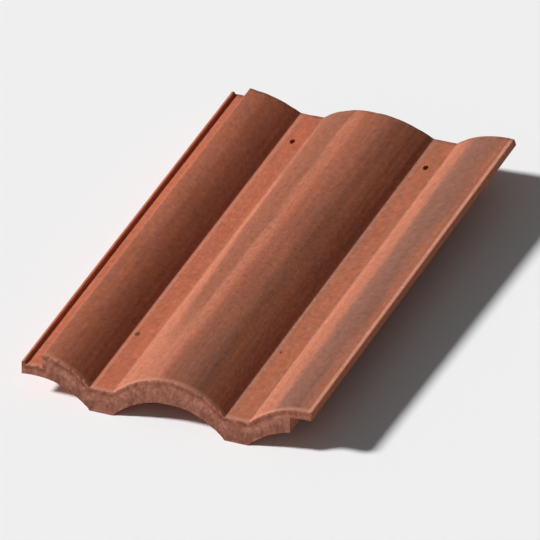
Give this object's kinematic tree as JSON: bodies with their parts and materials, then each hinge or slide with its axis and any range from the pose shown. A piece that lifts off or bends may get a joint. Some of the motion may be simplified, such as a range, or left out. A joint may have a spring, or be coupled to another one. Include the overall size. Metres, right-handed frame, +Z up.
{
  "type": "interlocking clay roof tile",
  "caption": "Interlocking clay roof tile with rounded rolls, flat pans, a raked nose, a side tongue and lip, hanging nibs and weather bars.",
  "frame": {"origin": "centre of the bounding box in plan, on the level floor under the tile", "axes": "+X across the tile from the tongue to the lip, +Y from the nose to the head, +Z up"},
  "size_m": [0.3214, 0.4198, 0.0489],
  "materials": {
    "fired_clay": "matt orange-red fired clay with grey weather streaks"
  },
  "bodies": {
    "root": {"roof_tile": "fired_clay"}
  },
  "joints": []
}
